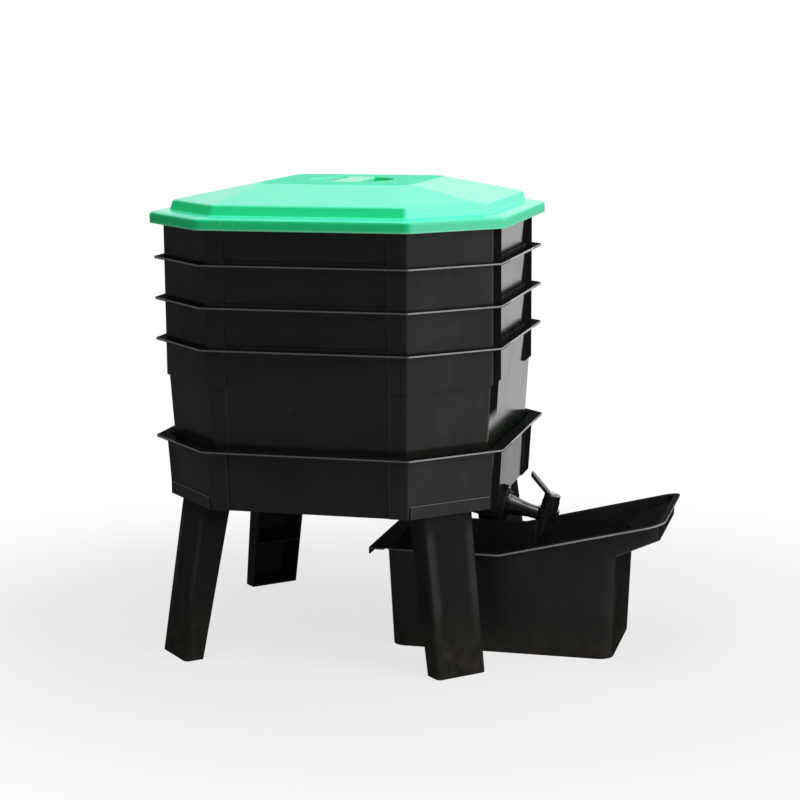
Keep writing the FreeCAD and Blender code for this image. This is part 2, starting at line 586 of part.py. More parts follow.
def tub_rim_zone(thick):
    """Slab that follows the rim: level, then climbing to the pouring end."""
    far = 2 * TUB_POUR_REACH
    pour_end = TUB_POUR_REACH + (TUB_POUR_RIM - TUB_POUR_KNEE) * TUB_END_SLOPE
    climb = (TUB_POUR_RIM - TUB_RIM) / (pour_end - TUB_RISE_START)
    far_rise = TUB_RIM + (far - TUB_RISE_START) * climb
    line = [(-far, TUB_RIM), (TUB_RISE_START, TUB_RIM), (far, far_rise)]
    back = [(x, z + thick) for x, z in reversed(line)]
    return prism(line + back, -2 * TUB_HALF_WIDTH, 2 * TUB_HALF_WIDTH, "y")


def tub():
    outer = tub_block(0)
    hollow = tub_block(TUB_WALL)
    above = tub_rim_zone(20 * TUB_RIM)
    lip_zone = tub_rim_zone(-TUB_LIP_THICK)
    lip = tub_block(-TUB_LIP).common(lip_zone)
    left_rim = TUB_LEFT - TUB_RIM * TUB_END_SLOPE
    half = TUB_HALF_WIDTH + TUB_RIM * TUB_SLOPE + TUB_LIP
    grip_end = left_rim - TUB_GRIP_REACH
    plate = box((grip_end, -half, TUB_RIM - TUB_LIP_THICK), (left_rim, half, TUB_RIM))
    turned = box((grip_end, -half, TUB_RIM - TUB_GRIP_DROP), (grip_end + TUB_LIP_THICK, half, TUB_RIM))
    grip = fused([plate, turned])
    grip_corners = [e for e in grip.Edges if abs(e.CenterOfMass.x - grip_end) < 0.1
                    and abs(e.Vertexes[0].Z - e.Vertexes[-1].Z) > TUB_LIP_THICK + 1]
    grip = grip.makeFillet(TUB_LIP_THICK - 0.1, grip_corners)
    return fused([outer.cut(above), lip, grip]).cut(hollow)


def main():
    os.makedirs("parts", exist_ok=True)
    export("base_tray", base_tray())
    one_leg = leg()
    for index, corner in enumerate(["front_right", "back_right", "back_left", "front_left"]):
        export("leg_" + corner, on_diagonal(one_leg, index))
    export("worm_ladder", worm_ladder())
    one_tray = tray()
    for index in range(TRAY_COUNT):
        placed = one_tray.copy()
        placed.translate(Vector(0, 0, TOP_RIM - index * STACK_PITCH))
        export("tray_" + str(index + 1), placed)
    export("lid", lid())
    export("tap_body", tap_place(tap_body()))
    export("tap_washer_outer", tap_place(tap_washer(WASHER_RADIUS, 0, WASHER_THICK)))
    inner_start = -GUTTER_END - INNER_WASHER_THICK
    export("tap_washer_inner", tap_place(tap_washer(INNER_WASHER_RADIUS, inner_start, -GUTTER_END)))
    export("tap_lock_nut", tap_place(tap_lock_nut()))
    export("tap_bonnet", tap_place(tap_bonnet()))
    export("tap_plug", tap_place(tap_plug()))
    export("tap_lever", tap_place(tap_lever()))
    export("tap_lever_screw", tap_place(tap_lever_screw()))
    export("catch_tub", tub())


main()
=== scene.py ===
"""Studio scene of a stacking wormery: four trays on a legged sump, with a lid, a tap and a tub."""
import math

import bmesh
import bpy
from mathutils import Matrix, Vector


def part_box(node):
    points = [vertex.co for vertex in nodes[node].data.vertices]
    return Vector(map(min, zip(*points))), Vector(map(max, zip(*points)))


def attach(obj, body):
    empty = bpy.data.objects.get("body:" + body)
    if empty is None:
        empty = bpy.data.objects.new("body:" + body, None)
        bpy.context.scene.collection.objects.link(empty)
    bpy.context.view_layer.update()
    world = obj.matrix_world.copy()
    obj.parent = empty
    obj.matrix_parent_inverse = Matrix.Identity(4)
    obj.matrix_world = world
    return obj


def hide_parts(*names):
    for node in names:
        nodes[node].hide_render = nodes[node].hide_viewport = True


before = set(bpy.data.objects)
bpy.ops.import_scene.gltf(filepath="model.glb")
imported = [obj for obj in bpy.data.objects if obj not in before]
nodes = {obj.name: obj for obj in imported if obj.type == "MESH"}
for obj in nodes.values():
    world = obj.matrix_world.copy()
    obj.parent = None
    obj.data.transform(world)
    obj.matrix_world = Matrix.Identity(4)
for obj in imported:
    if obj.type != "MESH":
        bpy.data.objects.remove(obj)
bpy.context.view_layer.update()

MM = 0.001
TRAYS = [name for name in sorted(nodes) if name.startswith("tray_")]
LEGS = [name for name in sorted(nodes) if name.startswith("leg_")]


# Sizes read from the frame

def middle(name):
    low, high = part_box(name)
    return (low + high) / 2


def half_width(name):
    low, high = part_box(name)
    return (high.x - low.x) / 2


def widest_level(name):
    """Height of the highest points on a piece's outermost faces, as on top of a rim flange."""
    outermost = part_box(name)[1].x - 0.1 * MM
    return max(v.co.z for v in nodes[name].data.vertices if v.co.x > outermost)


STACK = middle("tray_1")
RIM_HALF = half_width("tray_1")
BASE_RIM_HALF = half_width("base_tray")
SKIRT_HALF = half_width("lid")
LID_LOW, LID_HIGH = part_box("lid")


def corner_inset():
    """How much further out the cut corners of a rim lie than its main walls."""
    points = [v.co for v in nodes["tray_1"].data.vertices]
    reach = max(abs(p.x - STACK.x) + abs(p.y) for p in points) / math.sqrt(2)
    return reach - RIM_HALF


CORNER_INSET = corner_inset()


# Other sizes of the pieces

LID_WALL = 2.5 * MM
LID_SHELL = 2.0 * MM
SHELF_EDGE = LID_LOW.z + 15.0 * MM      # outer edge of the shelf between skirt and plinth
SHELF_INNER_HALF = SKIRT_HALF - 14.5 * MM
PLINTH_FOOT = LID_LOW.z + 17.5 * MM
PLINTH_TOP = LID_LOW.z + 31.5 * MM
PLINTH_FOOT_HALF = SKIRT_HALF - 27.5 * MM
PLINTH_TOP_HALF = SKIRT_HALF - 31.0 * MM
PLINTH_INNER_HALF = PLINTH_FOOT_HALF - 5.5 * MM
CROWN_HALF = 111 * MM
CROWN_DIAGONAL = 148 * MM       # middle of the crown to its cut corners
CROWN_FLAT = 0.8                # part of the crown that its edge rounding leaves flat
CROWN_INSIDE = 0.97             # inside of the crown, as a share of its outside

SKIRT_CORNER = 20 * MM          # roundings in plan
SKIRT_INNER_CORNER = 17.5 * MM
SHELF_CORNER = 12 * MM
PLINTH_FOOT_CORNER = 9 * MM
PLINTH_TOP_CORNER = 13 * MM
CROWN_CORNER = 13 * MM
LOWER_ROUND = 1 * MM            # roundings in section
SHELF_ROUND = 5.5 * MM
SHELF_HOLLOW = 10 * MM
PLINTH_HOLLOW = 2 * MM
PLINTH_ROUND = 5 * MM
CROWN_ROUND = 30 * MM
CORNER_FACETS = 6               # facets of each rounded corner in plan
ROUND_FACETS = 4                # facets of each rounding in section

DISH_RADIUS = 60 * MM
DISH_DEPTH = 24 * MM
DISH_LIP_ROUND = 2.5 * MM
DISH_FLOOR_ROUND = 7 * MM
DISH_CENTRE = 4 * MM            # smallest ring of the dish's floor
DISH_MARGIN = 12 * MM           # flat ring around the dish
GRIP_HALF = 18 * MM
GRIP_THICK = 7 * MM
GRIP_BELOW_CROWN = 0.3 * MM
GRIP_INTO_WALL = 1 * MM
GRIP_ROUND = 2 * MM

PAD_DROP = 53 * MM              # a tray's rim to the lower ends of its corner pads
POLISHED_FOOT = 45 * MM         # from there down to the polished foot of the wall
PANEL_HALF_ALONG = 85 * MM      # half length of the polished panels on the left and right walls
PANEL_HALF_ACROSS = 114 * MM    # and of the panels on the front and back walls
BAND_TOP = 239 * MM             # raised bands over the legs
BAND_OUTSIDE = 235.9 * MM       # half width of the stack at their outer faces
LEG_TOP = 221 * MM
LEG_TOP_HALF = 41 * MM          # half width of a leg's outer face at its top
LEG_FOOT_HALF = 39 * MM         # and at the ground
TUB_RIM = 147 * MM
TUB_CLIMB_START = 131 * MM      # where the tub's rim starts to climb, along X
TUB_CLIMB = 0.246               # its rise for each metre along X
TUB_LIP = 2.6 * MM              # thickness of the lip around it
SHARP = 0.5 * MM                # softness of a crisp border between two finishes


# Shading

class Value:
    """What a socket gives at each point of a surface. Arithmetic on a number adds Math nodes."""

    def __init__(self, shading, socket):
        self.shading = shading
        self.socket = socket

    def maths(self, operation, *others):
        values = dict(enumerate([self, *others]))
        return self.shading.add("ShaderNodeMath", {"operation": operation}, values)

    def __add__(self, other):
        return self.maths("ADD", other)

    def __radd__(self, other):
        return self + other

    def __sub__(self, other):
        return self.maths("SUBTRACT", other)

    def __rsub__(self, other):
        return -self + other

    def __neg__(self):
        return self * -1

    def __mul__(self, other):
        return self.maths("MULTIPLY", other)

    def __rmul__(self, other):
        return self * other

    def __truediv__(self, other):
        return self.maths("DIVIDE", other)

    def __pow__(self, other):
        return self.maths("POWER", other)

    def __abs__(self):
        return self.maths("ABSOLUTE")

    def at_most(self, other):
        return self.maths("MINIMUM", other)

    def at_least(self, other):
        return self.maths("MAXIMUM", other)

    def between(self, start, end):
        """0 at start and below it, 1 at end and past it, with a soft change between them."""
        settings = {"interpolation_type": "SMOOTHSTEP"}
        return self.shading.add("ShaderNodeMapRange", settings, {0: self, 1: start, 2: end})

    def near(self, target, inner, outer):
        """1 closer to the target than inner, 0 further from it than outer."""
        return 1 - abs(self - target).between(inner, outer)


class Shading:
    """A shader tree. add() makes a node: first its settings, then its sockets' values or links."""

    def __init__(self, tree):
        self.tree = tree

    def add(self, kind, settings=None, sockets=None, out=0):
        node = self.tree.nodes.new(kind)
        for key, value in (settings or {}).items():
            setattr(node, key, value)
        for key, value in (sockets or {}).items():
            if isinstance(value, Value):
                self.tree.links.new(value.socket, node.inputs[key])
            else:
                node.inputs[key].default_value = value
        return Value(self, node.outputs[out])

    def seen_rays(self):
        """1 for the rays that see the background, 0 for those that only carry its light."""
        camera, glossy, transmission = (
            self.add("ShaderNodeLightPath", out=socket)
            for socket in ("Is Camera Ray", "Is Glossy Ray", "Is Transmission Ray"))
        return camera.at_least(glossy).at_least(transmission)


class Paint(Shading):
    """One material, with the place and the facing direction of each point of the surface."""

    def __init__(self, name, **constants):
        self.material = bpy.data.materials.new(name)
        self.material.use_nodes = True
        super().__init__(self.material.node_tree)
        self.shader = self.tree.nodes["Principled BSDF"]
        for socket, value in constants.items():
            self.shader.inputs[socket.replace("_", " ")].default_value = value
        self.place = self.add("ShaderNodeTexCoord", out="Object")
        self.x, self.y, self.z = self.axes(self.place)
        facing = self.add("ShaderNodeTexCoord", out="Normal")
        self.facing_x, self.facing_y, self.facing_z = self.axes(facing)

    def axes(self, vector):
        split = self.add("ShaderNodeSeparateXYZ", None, {0: vector})
        return [Value(self, socket) for socket in split.socket.node.outputs]

    def stretched(self, scale, offset=(0, 0, 0), turn=(0, 0, 0)):
        """Object coordinates scaled by different amounts along X, Y and Z."""
        sockets = {"Vector": self.place, "Location": offset, "Rotation": turn, "Scale": scale}
        return self.add("ShaderNodeMapping", None, sockets)

    def shifted(self, offset):
        return self.stretched((1, 1, 1), offset)

    def noise(self, scale, detail, roughness, vector=None):
        sockets = {"Vector": vector or self.place, "Scale": scale, "Detail": detail,
                   "Roughness": roughness}
        return self.add("ShaderNodeTexNoise", None, sockets)

    def cells(self, scale, vector):
        """Distance to the middle of the nearest cell."""
        return self.add("ShaderNodeTexVoronoi", None, {"Vector": vector, "Scale": scale})

    def mix(self, factor, first, second):
        """Colour between two colours."""
        first, second = (colour if isinstance(colour, Value) else (*colour, 1)
                         for colour in (first, second))
        return self.add("ShaderNodeMix", {"data_type": "RGBA"},
                        {"Factor": factor, 6: first, 7: second}, 2)

    def bump(self, height, strength, distance, before=None):
        sockets = {"Height": height, "Strength": strength, "Distance": distance}
        if before is not None:
            sockets["Normal"] = before
        return self.add("ShaderNodeBump", None, sockets)

    def finish(self, **links):
        for socket, value in links.items():
            self.tree.links.new(value.socket, self.shader.inputs[socket.replace("_", " ")])
        return self.material


# Patterns on a surface

def octagon_reach(paint):
    """Half width of the stack's octagon that passes through each point."""
    across = abs(paint.x - STACK.x)
    along = abs(paint.y)
    diagonal = (across + along) * math.sqrt(0.5) - CORNER_INSET
    return across.at_least(along).at_least(diagonal)


def fine_grain(paint, scale):
    """Spark-eroded grain of a moulded plastic face."""
    return paint.noise(scale, 2.0, 0.6)


def scratches(paint, seed, density):
    """Thin scuffs in three directions, strongest in worn patches."""
    def lines(index):
        turn = (0.3 * index, 0.5 + 0.9 * index, 0.35 + 1.1 * index + seed)
        along = paint.stretched((1.0, 0.035, 0.3), (seed, 0.1, 0.2), turn)
        return paint.noise(260.0, 1.0, 0.5, along).between(0.70, 0.735)

    marks = lines(0).at_least(lines(1)).at_least(lines(2))
    patch = paint.noise(9.0, 2.0, 0.5, paint.shifted((seed, seed, seed)))
    return marks * patch.between(0.62 - density, 0.80 - density)


def rain_runs(paint, seed):
    """Dried streaks that run down an upright face."""
    streaks = paint.noise(60.0, 3.0, 0.6, paint.stretched((1.0, 1.0, 0.045), (seed, 0, 0)))
    patch = paint.noise(5.0, 1.0, 0.5, paint.shifted((0, seed, 0)))
    return streaks.between(0.52, 0.78) * patch.between(0.42, 0.7)


def soil_splashes(paint, top, seed):
    """Earth thrown up from the ground, thinning out towards a height."""
    height = 1 - paint.z.between(0.0, top)
    spots = paint.cells(260.0, paint.stretched((1, 1, 0.7), (seed, 0, 0)))
    drops = 1 - spots.between(0.10, 0.34)
    crowd = paint.noise(24.0, 3.0, 0.6).between(0.45, 0.62)
    faint_tint = paint.noise(45.0, 4.0, 0.65).between(0.38, 0.75) * height ** 2.0
    return (drops * crowd * height).at_least(faint_tint * 0.75)


def side_polish(paint, pads_end, panel_polish):
    """Polish of the stack's walls: high on the side panels, lower on the right-hand cut corners.

    Beside the right-hand panels it goes on behind them below the end of the corner pads, and
    in front of them near the foot of the wall. On the left only the pads are without it."""
    beside_pads = paint.z.between(pads_end - SHARP, pads_end)
    behind = paint.y.between(PANEL_HALF_ALONG - SHARP, PANEL_HALF_ALONG + SHARP)
    in_front = 1 - paint.y.between(-PANEL_HALF_ALONG - SHARP, -PANEL_HALF_ALONG + SHARP)
    foot = pads_end - POLISHED_FOOT
    above_foot = paint.z.between(foot - 12 * MM, foot + 8 * MM)
    right_panel = (1 - behind * beside_pads) * (1 - in_front * above_foot)
    right_panel = right_panel * paint.facing_x.between(0.90, 0.98) * panel_polish
    left_panel = (1 - (behind + in_front) * beside_pads) * (-paint.facing_x).between(0.85, 0.97)
    right_corner = paint.facing_x.between(0.35, 0.68) * (1 - paint.facing_x.between(0.75, 0.9))
    corner_line = paint.facing_x.near(0.87, 0.05, 0.11)
    return right_panel + left_panel * 0.45 + right_corner * 0.32 + corner_line * 0.6


def pad_edge_highlights(paint):
    """Thin painted highlights where the corner pads end."""
    line_middle, line_inner, line_outer = 0.9 * MM, 0.3 * MM, 1.3 * MM
    across = abs(paint.x - STACK.x).near(PANEL_HALF_ACROSS + line_middle, line_inner, line_outer)
    along = abs(paint.y).near(PANEL_HALF_ALONG + line_middle, line_inner, line_outer)
    front = across * abs(paint.facing_y).between(0.8, 0.9)
    return front.at_least(along * abs(paint.facing_x).between(0.8, 0.9))


def rim_edge(paint, level, half):
    """Outer edge of a rim flange."""
    near_level = paint.z.near(level - 0.8 * MM, 0.9 * MM, 1.3 * MM)
    return octagon_reach(paint).between(half - 1.0 * MM, half - 0.4 * MM) * near_level


def band_edge_highlight(paint):
    """Painted highlight on the top edges of the raised bands over the legs."""
    near_top = paint.z.near(BAND_TOP, 0.4 * MM, 1.3 * MM)
    return near_top * octagon_reach(paint).between(BAND_OUTSIDE - SHARP, BAND_OUTSIDE) * 0.35


def leg_edge_highlights(paint):
    """Strips of painted highlight along the upright edges of a leg's outer face."""
    across = abs(abs(paint.x - STACK.x) - abs(paint.y)) / math.sqrt(2)
    taper = (LEG_TOP_HALF - LEG_FOOT_HALF) / LEG_TOP
    inset = paint.z * taper + LEG_FOOT_HALF - across
    strip = (1 - inset.between(9 * MM, 20 * MM)) * inset.between(2 * MM, 6 * MM)
    off_ground = paint.z.between(40 * MM, 110 * MM)
    return strip * off_ground * (1 - paint.z.between(LEG_TOP - 40 * MM, LEG_TOP)) * 0.05


def tub_lip_highlight(paint):
    """Painted highlight on the outer edge of the tub's lip, brightest towards the pouring end."""
    rim = (paint.x - TUB_CLIMB_START).at_least(0.0) * TUB_CLIMB + TUB_RIM
    sides = (paint.y * paint.facing_y).between(0.02, 0.06)
    pouring_end = paint.facing_x.between(0.5, 0.8) * paint.x.between(0.30, 0.33)
    at_lip = (paint.z - rim + TUB_LIP).between(-0.4 * MM, 0.2 * MM)
    return at_lip * sides.at_least(pouring_end) * (paint.x.between(-0.05, 0.25) * 0.6 + 0.22)


def inside_dish(paint):
    return 1 - octagon_reach(paint).between(DISH_RADIUS, DISH_RADIUS + 3 * MM)


# Materials

BLACK = (0.0135, 0.0145, 0.0132)
SHEEN_BLACK = (0.0185, 0.0200, 0.0180)
SHADE_BLACK = (0.0060, 0.0085, 0.0080)
# colour of scuffs, and of the painted highlights where the corner pads end
WEAR_AND_HIGHLIGHT_BLACK = (0.045, 0.052, 0.047)
# colour of the painted highlights on edges
EDGE_HIGHLIGHT = (0.60, 0.62, 0.60)
# colour of algae low down, and of painted green reflections on the walls
ALGAE_AND_GREEN_REFLECTION = (0.030, 0.055, 0.020)
DUST = (0.20, 0.18, 0.15)
SOIL = (0.075, 0.052, 0.033)
LIME = (0.55, 0.54, 0.50)

LID_GREEN = (0.038, 0.90, 0.365)
# colour of the painted sky reflection on upward faces
LID_PALE = (0.055, 0.93, 0.60)
LID_DEEP = (0.015, 0.59, 0.205)
# colour of the painted sunlight on faces turned to the right
LID_SUNLIT = (0.30, 0.95, 0.80)
# colour of scratches, and of the painted highlight on the skirt's lower edge
SCRATCH_AND_EDGE_HIGHLIGHT = (0.42, 0.95, 0.74)

RUBBER = (0.010, 0.010, 0.011)
RUBBER_BLOOM = (0.040, 0.040, 0.042)
STEEL_DARK = (0.48, 0.48, 0.47)
STEEL_BRIGHT = (0.62, 0.62, 0.60)
STEEL_STAIN = (0.20, 0.15, 0.10)


def black_moulding(name, seed, gloss=0.12, blur=0.16, streaks=0.02, walls=None, rim=None,
                   highlight_edge=None, soil_height=None):
    """Black moulded plastic with a thin polished skin; its gloss, scuffs and dust vary, with
    painted shade, highlights and green reflections on some faces.

    walls: the height where the corner pads end, and the polish of the right-hand panels
    rim: the level and half width of a rim flange whose outer edge gets a painted highlight
    highlight_edge: a function that finds other edges that get a painted highlight"""
    paint = Paint(name, Specular_IOR_Level=0.0, Coat_IOR=1.5, Coat_Roughness=blur)
    lustre = paint.noise(7.0, 3.0, 0.55, paint.shifted((seed, 0, 0)))
    clouds = paint.noise(19.0, 4.0, 0.6, paint.stretched((1, 1, 0.6), (0, seed, 0)))
    grain = fine_grain(paint, 1400.0)
    up = paint.facing_z.between(0.55, 0.95)
    dust = up * paint.noise(38.0, 5.0, 0.65).between(0.45, 0.8)
    low_down = 1 - paint.z.between(60 * MM, 260 * MM)
    damp = low_down * clouds.between(0.35, 0.75)
    colour = paint.mix(lustre.between(0.35, 0.75), BLACK, SHEEN_BLACK)
    colour = paint.mix(rain_runs(paint, seed) * streaks, colour, DUST)
    colour = paint.mix(damp * 0.10, colour, ALGAE_AND_GREEN_REFLECTION)
    colour = paint.mix(dust * 0.03, colour, DUST)
    colour = paint.mix(scratches(paint, seed + 1.3, 0.02) * 0.35, colour, WEAR_AND_HIGHLIGHT_BLACK)
    leftward = -paint.facing_x
    matt = leftward.between(0.4, 0.7) * 0.5 + paint.facing_x.between(0.85, 0.97)
    skin = (clouds * 0.9 + 0.55) * (1 - matt) * gloss
    if walls is not None:
        polish = side_polish(paint, *walls)
        skin = skin + polish * (clouds * 0.5 + 0.75)
        # painted green reflection on the polished panels
        faint_tint = polish.between(0.05, 0.6) * clouds.between(0.35, 0.7)
        colour = paint.mix(faint_tint * 0.35, colour, ALGAE_AND_GREEN_REFLECTION)
        # painted shade: the pads beside the right-hand panels and the upward faces, such as the
        # flange tops, are darkened
        pads = paint.facing_x.between(0.9, 0.98) * (1 - polish.at_most(1.0))
        colour = paint.mix((pads * 0.7).at_least(up * 0.8), colour, SHADE_BLACK)
        # painted green reflection in patches on the left-hand cut corners
        left_corner = leftward.between(0.4, 0.65) * (1 - leftward.between(0.75, 0.9))
        colour = paint.mix(left_corner * lustre.between(0.45, 0.65) * 0.16, colour, ALGAE_AND_GREEN_REFLECTION)
        # painted highlights along the ends of the corner pads
        colour = paint.mix(pad_edge_highlights(paint) * 0.6, colour, WEAR_AND_HIGHLIGHT_BLACK)
    skin = skin * (1 - up * 0.85)
    if rim is not None:
        # painted highlight on the rim's outer edge, stronger on the faces turned to the right
        edge = rim_edge(paint, *rim)
        lit_side = paint.facing_x.between(0.2, 0.68) * 0.50 + 0.15
        painted_highlight = edge * lit_side * (paint.noise(70.0, 4.0, 0.7) * 0.7 + 0.6)
        colour = paint.mix(painted_highlight.at_most(1.0), colour, EDGE_HIGHLIGHT)
        skin = skin + edge * 0.3
    if highlight_edge is not None:
        # painted highlights on other edges
        painted_highlight = highlight_edge(paint) * (paint.noise(60.0, 4.0, 0.7) * 0.8 + 0.4)
        colour = paint.mix(painted_highlight.at_most(1.0), colour, EDGE_HIGHLIGHT)
    if soil_height is not None:
        soil = soil_splashes(paint, soil_height, seed)
        colour = paint.mix(soil * 0.8, colour, SOIL)
        skin = skin * (1 - soil)
    surface = paint.bump(grain, 0.22, 0.05 * MM)
    surface = paint.bump(lustre, 0.30, 1.2 * MM, surface)
    return paint.finish(Base_Color=colour, Coat_Weight=skin.at_least(0.0).at_most(1.0),
                        Roughness=grain * 0.2 + 0.5, Normal=surface)


def lid_plastic():
    """Green moulded plastic, glossy on its slopes, paler on top as a painted sky reflection, paler
    on the faces turned right as painted sunlight, with painted shade on the skirt, the left slope
    and in the recess.
    """
    paint = Paint("lid_green", Specular_IOR_Level=0.0, Coat_IOR=1.5, Coat_Roughness=0.22)
    lustre = paint.noise(5.0, 3.0, 0.55)
    blotches = paint.noise(30.0, 4.0, 0.6)
    grain = fine_grain(paint, 1200.0)
    up = paint.facing_z.between(0.45, 0.97)
    skirt = 1 - paint.z.between(SHELF_EDGE, SHELF_EDGE + 2 * MM)
    crown = paint.z.between(LID_HIGH.z - 0.9 * MM, LID_HIGH.z - 0.3 * MM) * up
    to_right = paint.facing_x.between(0.3, 0.62)
    left_slope = (-paint.facing_x).between(0.165, 0.19) * paint.facing_z.between(0.9, 0.95)
    below_crown = 1 - paint.z.between(LID_HIGH.z - 22 * MM, LID_HIGH.z - 3 * MM)
    in_dish = inside_dish(paint)
    deep = below_crown * in_dish
    lower_edge = 1 - paint.z.between(LID_LOW.z + 1.2 * MM, LID_LOW.z + 3.4 * MM)
    spots = paint.cells(170.0, paint.shifted((3.1, 0.4, 0)))
    grime = (1 - spots.between(0.05, 0.16)) * up * paint.noise(12.0, 2.0, 0.5).between(0.56, 0.70)
    colour = paint.mix(lustre.between(0.3, 0.8) * 0.25, LID_GREEN, LID_DEEP)
    # painted shade on the upright faces of the skirt
    colour = paint.mix(skirt * (1 - up) * 0.55, colour, LID_DEEP)
    # painted sky reflection: upward faces are paler, less so on the crown
    colour = paint.mix(up * (blotches * 0.2 + 0.85), colour, LID_PALE)
    colour = paint.mix(crown * 0.30, colour, LID_DEEP)
    # painted sunlight: faces turned to the right are paler, most of all above the skirt
    colour = paint.mix(to_right * ((1 - skirt) * 0.46 + 0.38), colour, LID_SUNLIT)
    # painted highlight along the lower edge of the skirt
    colour = paint.mix(lower_edge * (1 - up) * 0.45, colour, SCRATCH_AND_EDGE_HIGHLIGHT)
    colour = paint.mix(scratches(paint, 4.7, 0.10) * 0.35, colour, SCRATCH_AND_EDGE_HIGHLIGHT)
    colour = paint.mix(grime * 0.4, colour, SOIL)
    # painted shade on the slope turned to the left
    colour = paint.mix(left_slope * 0.75, colour, LID_DEEP)
    # painted shade in the hand recess, except on faces turned to the right
    colour = paint.mix(deep * (1 - to_right) * 0.6, colour, LID_DEEP)
    on_left = 1 - paint.facing_x.between(-0.06, -0.02)
    mottle = paint.noise(22.0, 4.0, 0.6, paint.stretched((1, 0.6, 1), (6.0, 0, 0)))
    skin = (blotches * 0.4 + 0.8) * (1 - crown * 0.75) * (up * 0.95 + 0.05)
    skin = skin + on_left * up * mottle.between(0.5, 0.62) * 0.6
    across_grip = paint.x.near(STACK.x, GRIP_HALF, GRIP_HALF + SHARP)
    grip_height = paint.z.between(LID_HIGH.z - GRIP_THICK, LID_HIGH.z - 0.4 * MM)
    on_grip = across_grip * grip_height * in_dish
    skin = skin * (1 - left_slope * 0.9) + (deep * to_right + on_grip) * 0.9
    surface = paint.bump(grain, 0.15, 0.05 * MM)
    surface = paint.bump(lustre, 0.25, 1.0 * MM, surface)
    return paint.finish(Base_Color=colour, Coat_Weight=skin.at_most(1.0),
                        Roughness=blotches * 0.2 + 0.4, Normal=surface)


def tap_plastic(name, seed):
    """Smooth black plastic, polished on top, with finger marks and a little lime."""
    paint = Paint(name, Specular_IOR_Level=0.0, Coat_IOR=2.0, Coat_Roughness=0.14)
    smears = paint.noise(120.0, 3.0, 0.6, paint.stretched((1, 1, 0.5), (seed, 0, 0)))
    lime = paint.noise(210.0, 5.0, 0.7).between(0.62, 0.8)
    grain = fine_grain(paint, 2600.0)
    colour = paint.mix(smears.between(0.4, 0.8), SHADE_BLACK, BLACK)
    colour = paint.mix(lime * 0.06, colour, LIME)
    polish = paint.facing_z.between(0.25, 0.9) * 0.95 + 0.05
    skin = polish * (1 - lime * 0.8) * (smears * 0.5 + 0.75)
    return paint.finish(Base_Color=colour, Coat_Weight=skin.at_most(1.0),
                        Roughness=smears * 0.2 + 0.45, Normal=paint.bump(grain, 0.12, 0.03 * MM))


def washer_rubber():
    paint = Paint("washer_rubber", Specular_IOR_Level=0.3)
    bloom = paint.noise(260.0, 5.0, 0.65)
    colour = paint.mix(bloom.between(0.45, 0.8), RUBBER, RUBBER_BLOOM)
    return paint.finish(Base_Color=colour, Roughness=bloom * 0.2 + 0.6,
                        Normal=paint.bump(bloom, 0.3, 0.1 * MM))


def plated_steel():
    paint = Paint("plated_steel", Metallic=1.0)
    brushed = paint.noise(900.0, 2.0, 0.6, paint.stretched((1, 0.05, 1)))
    stain = paint.noise(420.0, 4.0, 0.7).between(0.58, 0.75)
    colour = paint.mix(brushed, STEEL_DARK, STEEL_BRIGHT)
    colour = paint.mix(stain * 0.5, colour, STEEL_STAIN)
    return paint.finish(Base_Color=colour, Roughness=brushed * 0.12 + stain * 0.3 + 0.24,
                        Normal=paint.bump(brushed, 0.2, 0.05 * MM))


def dress(name, material):
    mesh = nodes[name].data
    mesh.materials.clear()
    mesh.materials.append(material)


def dress_nodes():
    for index, name in enumerate(TRAYS):
        rim = widest_level(name)
        dress(name, black_moulding(name + "_black", seed=1.7 * index, walls=(rim - PAD_DROP, 1.0),
                                   rim=(rim, RIM_HALF)))
    base_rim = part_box("base_tray")[1].z
    dress("base_tray", black_moulding("base_black", seed=8.2, walls=(0.0, 0.65),
                                      rim=(base_rim, BASE_RIM_HALF), highlight_edge=band_edge_highlight))
    for index, name in enumerate(LEGS):
        dress(name, black_moulding(name + "_black", seed=11.0 + index, gloss=0.05, streaks=0.07,
                                   highlight_edge=leg_edge_highlights, soil_height=110 * MM))
    dress("worm_ladder", black_moulding("ladder_black", seed=21.0))
    dress("catch_tub", black_moulding("tub_black", seed=31.0, gloss=0.17, blur=0.32,
                                      highlight_edge=tub_lip_highlight, soil_height=70 * MM))
    tap_pieces = ["tap_body", "tap_bonnet", "tap_lever", "tap_lock_nut", "tap_plug"]
    for index, name in enumerate(tap_pieces):
        dress(name, tap_plastic(name + "_black", 0.7 * index))
    rubber = washer_rubber()
    dress("tap_washer_outer", rubber)
    dress("tap_washer_inner", rubber)
    dress("tap_lever_screw", plated_steel())
    dress("lid", lid_plastic())


# Lid

def rounded_octagon(half, level, radius, diagonal):
    """Ring with eight rounded corners. Its flats lie at half, its cut corners at diagonal."""
    eighth = math.radians(45)
    points = []
    for side in range(8):
        start = eighth * side
        first, second = (half, diagonal) if side % 2 == 0 else (diagonal, half)
        along = (second - first * math.cos(eighth)) / math.sin(eighth)
        corner = Vector((math.cos(start), math.sin(start))) * first
        corner += Vector((-math.sin(start), math.cos(start))) * along
        bisector = start + eighth / 2
        reach = radius / math.cos(eighth / 2)
        centre = corner - Vector((math.cos(bisector), math.sin(bisector))) * reach
        for step in range(CORNER_FACETS + 1):
            angle = start + eighth * step / CORNER_FACETS
            x, y = centre + Vector((math.cos(angle), math.sin(angle))) * radius
            points.append((STACK.x + x, y, level))
    return points


def circle(radius, level):
    """Ring with as many points as the octagons have."""
    count = 8 * (CORNER_FACETS + 1)
    angles = [2 * math.pi * (index + 0.5) / count for index in range(count)]
    return [(STACK.x + radius * math.cos(angle), radius * math.sin(angle), level)
            for angle in angles]


